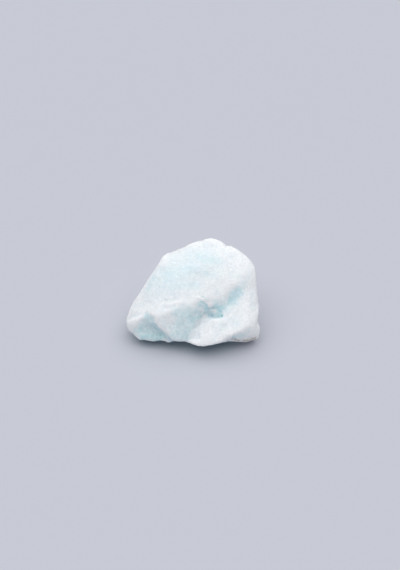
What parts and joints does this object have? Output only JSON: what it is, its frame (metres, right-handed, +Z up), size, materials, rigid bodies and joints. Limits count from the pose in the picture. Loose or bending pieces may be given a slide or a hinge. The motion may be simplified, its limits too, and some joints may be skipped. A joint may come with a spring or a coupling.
{
  "type": "raw hemimorphite stone",
  "caption": "Raw lump of pale blue and white hemimorphite with a domed sugary crown, a hollowed front and a flat foot to rest on.",
  "frame": {"origin": "on the ground, under the middle of the bounding box", "axes": "+Z up, +X along the stone's length, +Y from its hollowed front to its back"},
  "size_m": [0.0506, 0.037, 0.0287],
  "materials": {
    "hemimorphite": "sugary, fine-grained, slightly translucent pale blue-white mineral, matt with fine sparkle"
  },
  "bodies": {
    "root": {"hemimorphite_stone": "hemimorphite"}
  },
  "joints": []
}
